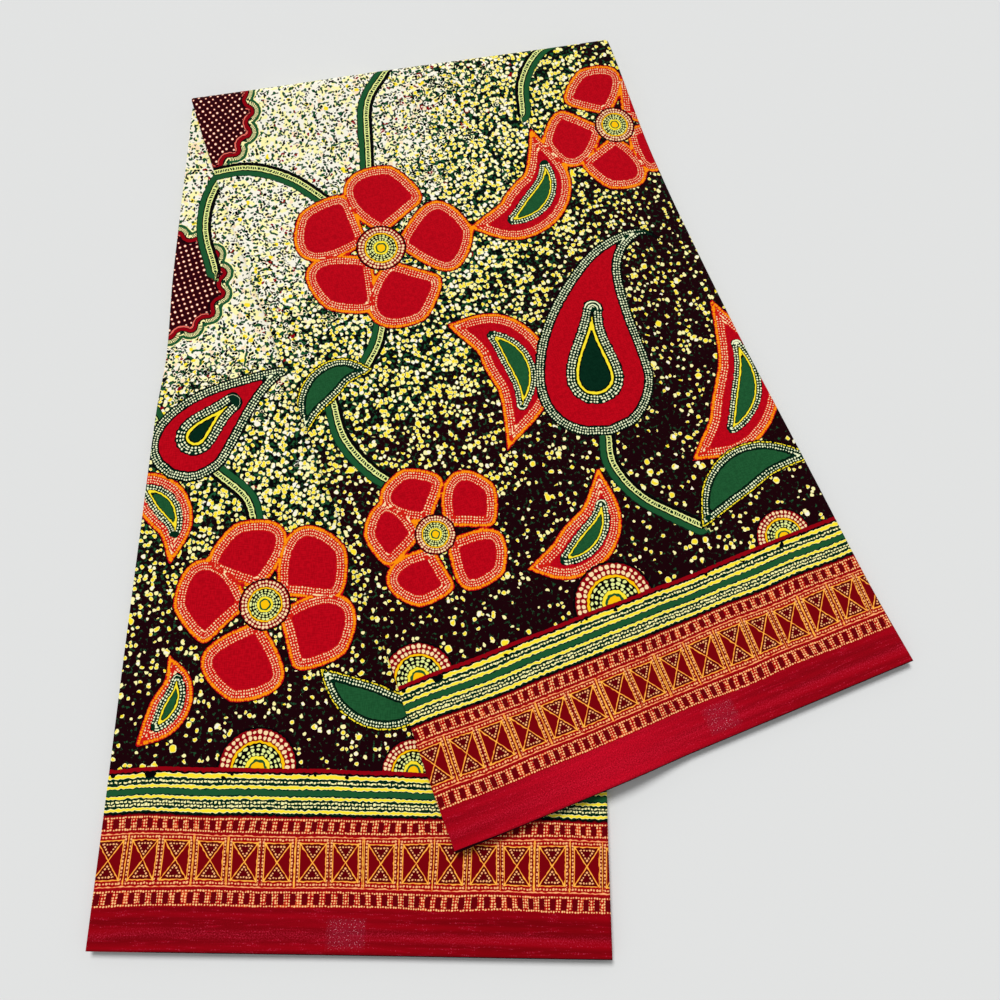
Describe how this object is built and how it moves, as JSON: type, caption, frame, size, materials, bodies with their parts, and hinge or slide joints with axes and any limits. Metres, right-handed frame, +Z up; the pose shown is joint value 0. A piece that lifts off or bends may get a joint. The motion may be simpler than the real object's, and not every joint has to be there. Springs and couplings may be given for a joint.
{
  "type": "folded wax print cloth",
  "caption": "Length of printed cotton cloth, pleated flat into a strip and turned over once on a slant, with a banded border at both visible ends.",
  "frame": {"origin": "on the surface that the cloth lies on, under the middle of its bounding box", "axes": "+Z up out of the surface; +Y along the lower leg, from its selvedge towards the turn; +X to the right, where the upper leg swings out"},
  "size_m": [0.5137, 0.6548, 0.0151],
  "materials": {
    "printed_cotton": "matt, crisp plain weave with a faint sheen",
    "cloth_edges": "matt, pleated edges"
  },
  "bodies": {
    "root": {"lower_leg_top_layer": "printed_cotton", "upper_leg_top_layer": "printed_cotton", "turn_outer_layer": "printed_cotton", "lower_leg_hidden_layers": "cloth_edges", "upper_leg_hidden_layers": "cloth_edges", "turn_hidden_layers": "cloth_edges"}
  },
  "joints": []
}
